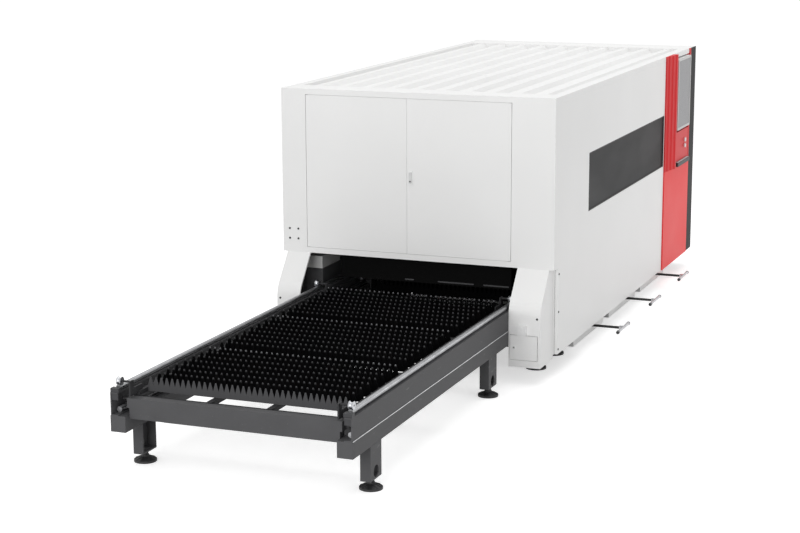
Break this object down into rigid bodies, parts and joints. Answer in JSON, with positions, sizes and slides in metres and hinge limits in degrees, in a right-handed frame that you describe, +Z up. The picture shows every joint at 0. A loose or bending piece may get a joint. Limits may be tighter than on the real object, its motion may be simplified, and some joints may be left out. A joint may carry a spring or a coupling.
{
  "type": "fiber laser cutting machine",
  "caption": "Enclosed fiber laser cutter for sheet metal, with a two-tier pallet exchange table, slatted pallets, gantry cutting head, side window, operator console and pull-out slag drawers.",
  "frame": {"origin": "on the floor, under the middle of the whole object's bounding box", "axes": "+Z up, +Y from the exchange table into the machine, +X towards the operator console"},
  "size_m": [2.7444, 8.81, 2.4],
  "materials": {
    "white_paint": "semi-gloss powder coat",
    "grey_paint": "fine textured powder coat",
    "pale_paint": "semi-gloss powder coat",
    "dark_paint": "fine textured powder coat",
    "red_paint": "semi-gloss powder coat",
    "slat_steel": "scorched bare steel",
    "bright_steel": "ground",
    "chrome": "polished",
    "tinted_pane": "tinted laser-safe pane",
    "screen": "satin screen",
    "white_plastic": "gloss",
    "black_plastic": "matt"
  },
  "bodies": {
    "machine": {"bed_frame": "grey_paint", "levelling_feet": "black_plastic", "y_guides": "bright_steel", "guide_end_covers": "pale_paint", "inner_tracks": "grey_paint", "pallet_rails": "bright_steel", "frame_posts": "grey_paint", "roof_frame": "white_paint", "roof_sheet": "white_paint", "wall_left": "white_paint", "wall_right": "white_paint", "wall_rear": "white_paint", "side_window": "tinted_pane", "end_panel": "dark_paint", "front_portal": "white_paint", "hinge_pins": "bright_steel", "leg_cover_left": "white_paint", "leg_cover_right": "white_paint", "sensor_box": "white_plastic", "cover_bolts": "black_plastic", "console_column": "red_paint", "monitor_case": "pale_paint", "monitor_screen": "screen", "button_box": "red_paint", "keyboard_shelf": "black_plastic", "table_beams": "grey_paint", "table_channels": "grey_paint", "table_crossbeams": "grey_paint", "table_legs": "grey_paint", "pallet_stop": "dark_paint", "drive_chains": "bright_steel", "drive_motor": "grey_paint"},
    "upper_pallet": {"upper_pallet_frame": "dark_paint", "upper_slats": "slat_steel"},
    "upper_front_wheels": {"upper_front_wheels": "bright_steel"},
    "upper_rear_wheels": {"upper_rear_wheels": "bright_steel"},
    "lower_pallet": {"lower_pallet_frame": "dark_paint", "lower_slats": "slat_steel"},
    "lower_front_wheels": {"lower_front_wheels": "bright_steel"},
    "lower_rear_wheels": {"lower_rear_wheels": "bright_steel"},
    "drive_shaft": {"drive_shaft": "bright_steel"},
    "idlers": {"idler_sprockets": "bright_steel"},
    "shutter": {"mouth_shutter": "dark_paint"},
    "door_left": {"door_left": "white_paint"},
    "door_right": {"door_right": "white_paint", "door_lock": "black_plastic"},
    "lock_handle": {"lock_handle": "pale_paint"},
    "hatch": {"hatch_door": "white_paint"},
    "gantry": {"gantry": "pale_paint"},
    "carriage": {"head_carriage": "dark_paint"},
    "head": {"cutting_head": "bright_steel"},
    "drawer_1": {"slag_drawer_1": "pale_paint", "drawer_grip_1": "chrome"},
    "drawer_2": {"slag_drawer_2": "pale_paint", "drawer_grip_2": "chrome"},
    "drawer_3": {"slag_drawer_3": "pale_paint", "drawer_grip_3": "chrome"},
    "start_button": {"start_button": "white_plastic"},
    "stop_button": {"stop_button": "white_plastic"}
  },
  "joints": [
    {"name": "upper_pallet_slide", "type": "slide", "parent": "machine", "child": "upper_pallet", "axis": [0, 1, 0], "range_m": [0, 4.35]},
    {"name": "lower_pallet_slide", "type": "slide", "parent": "machine", "child": "lower_pallet", "axis": [0, 1, 0], "range_m": [-4.35, 0]},
    {"name": "upper_front_wheels_roll", "type": "hinge", "parent": "upper_pallet", "child": "upper_front_wheels", "pos_m": [-0.12225, -4.322, 0.692], "axis": [1, 0, 0], "continuous": true},
    {"name": "upper_rear_wheels_roll", "type": "hinge", "parent": "upper_pallet", "child": "upper_rear_wheels", "pos_m": [-0.12225, -0.86, 0.692], "axis": [1, 0, 0], "continuous": true},
    {"name": "lower_front_wheels_roll", "type": "hinge", "parent": "lower_pallet", "child": "lower_front_wheels", "pos_m": [-0.12225, 0.17, 0.53], "axis": [1, 0, 0], "continuous": true},
    {"name": "lower_rear_wheels_roll", "type": "hinge", "parent": "lower_pallet", "child": "lower_rear_wheels", "pos_m": [-0.12225, 3.49, 0.53], "axis": [1, 0, 0], "continuous": true},
    {"name": "drive_shaft_turn", "type": "hinge", "parent": "machine", "child": "drive_shaft", "pos_m": [-0.12225, 3.635, 0.54], "axis": [1, 0, 0], "continuous": true},
    {"name": "idlers_turn", "type": "hinge", "parent": "machine", "child": "idlers", "pos_m": [-0.12225, -4.235, 0.54], "axis": [1, 0, 0], "continuous": true},
    {"name": "shutter_lift", "type": "slide", "parent": "machine", "child": "shutter", "axis": [0, 0, 1], "range_m": [0, 0.25]},
    {"name": "door_left_swing", "type": "hinge", "parent": "machine", "child": "door_left", "pos_m": [-1.13025, -0.787, 1.675], "axis": [0, 0, 1], "range_deg": [-110, 0]},
    {"name": "door_right_swing", "type": "hinge", "parent": "machine", "child": "door_right", "pos_m": [0.73575, -0.787, 1.675], "axis": [0, 0, 1], "range_deg": [0, 110]},
    {"name": "lock_turn", "type": "hinge", "parent": "door_right", "child": "lock_handle", "pos_m": [-0.16125, -0.801, 1.63928], "axis": [0, 1, 0], "range_deg": [0, 90]},
    {"name": "hatch_swing", "type": "hinge", "parent": "machine", "child": "hatch", "pos_m": [1.05375, -1.025, 0.319], "axis": [0, 0, 1], "range_deg": [0, 110]},
    {"name": "gantry_travel", "type": "slide", "parent": "machine", "child": "gantry", "axis": [0, 1, 0], "range_m": [-3.05, 0]},
    {"name": "carriage_travel", "type": "slide", "parent": "gantry", "child": "carriage", "axis": [1, 0, 0], "range_m": [-0.15, 1.35]},
    {"name": "head_lift", "type": "slide", "parent": "carriage", "child": "head", "axis": [0, 0, 1], "range_m": [0, 0.1]},
    {"name": "drawer_1_pull", "type": "slide", "parent": "machine", "child": "drawer_1", "axis": [1, 0, 0], "range_m": [0, 1]},
    {"name": "drawer_2_pull", "type": "slide", "parent": "machine", "child": "drawer_2", "axis": [1, 0, 0], "range_m": [0, 1]},
    {"name": "drawer_3_pull", "type": "slide", "parent": "machine", "child": "drawer_3", "axis": [1, 0, 0], "range_m": [0, 1]},
    {"name": "start_press", "type": "slide", "parent": "machine", "child": "start_button", "axis": [-1, 0, 0], "range_m": [0, 0.004], "stiffness_N_per_m": 400},
    {"name": "stop_press", "type": "slide", "parent": "machine", "child": "stop_button", "axis": [-1, 0, 0], "range_m": [0, 0.004], "stiffness_N_per_m": 400}
  ],
  "couplings": [
    {"joint": "lower_pallet_slide", "follows": "upper_pallet_slide", "ratio": -1},
    {"joint": "upper_front_wheels_roll", "follows": "upper_pallet_slide", "rad_per_m": -45.455},
    {"joint": "upper_rear_wheels_roll", "follows": "upper_pallet_slide", "rad_per_m": -45.455},
    {"joint": "lower_front_wheels_roll", "follows": "upper_pallet_slide", "rad_per_m": 45.455},
    {"joint": "lower_rear_wheels_roll", "follows": "upper_pallet_slide", "rad_per_m": 45.455},
    {"joint": "drive_shaft_turn", "follows": "upper_pallet_slide", "rad_per_m": -23.529},
    {"joint": "idlers_turn", "follows": "upper_pallet_slide", "rad_per_m": -23.529}
  ]
}
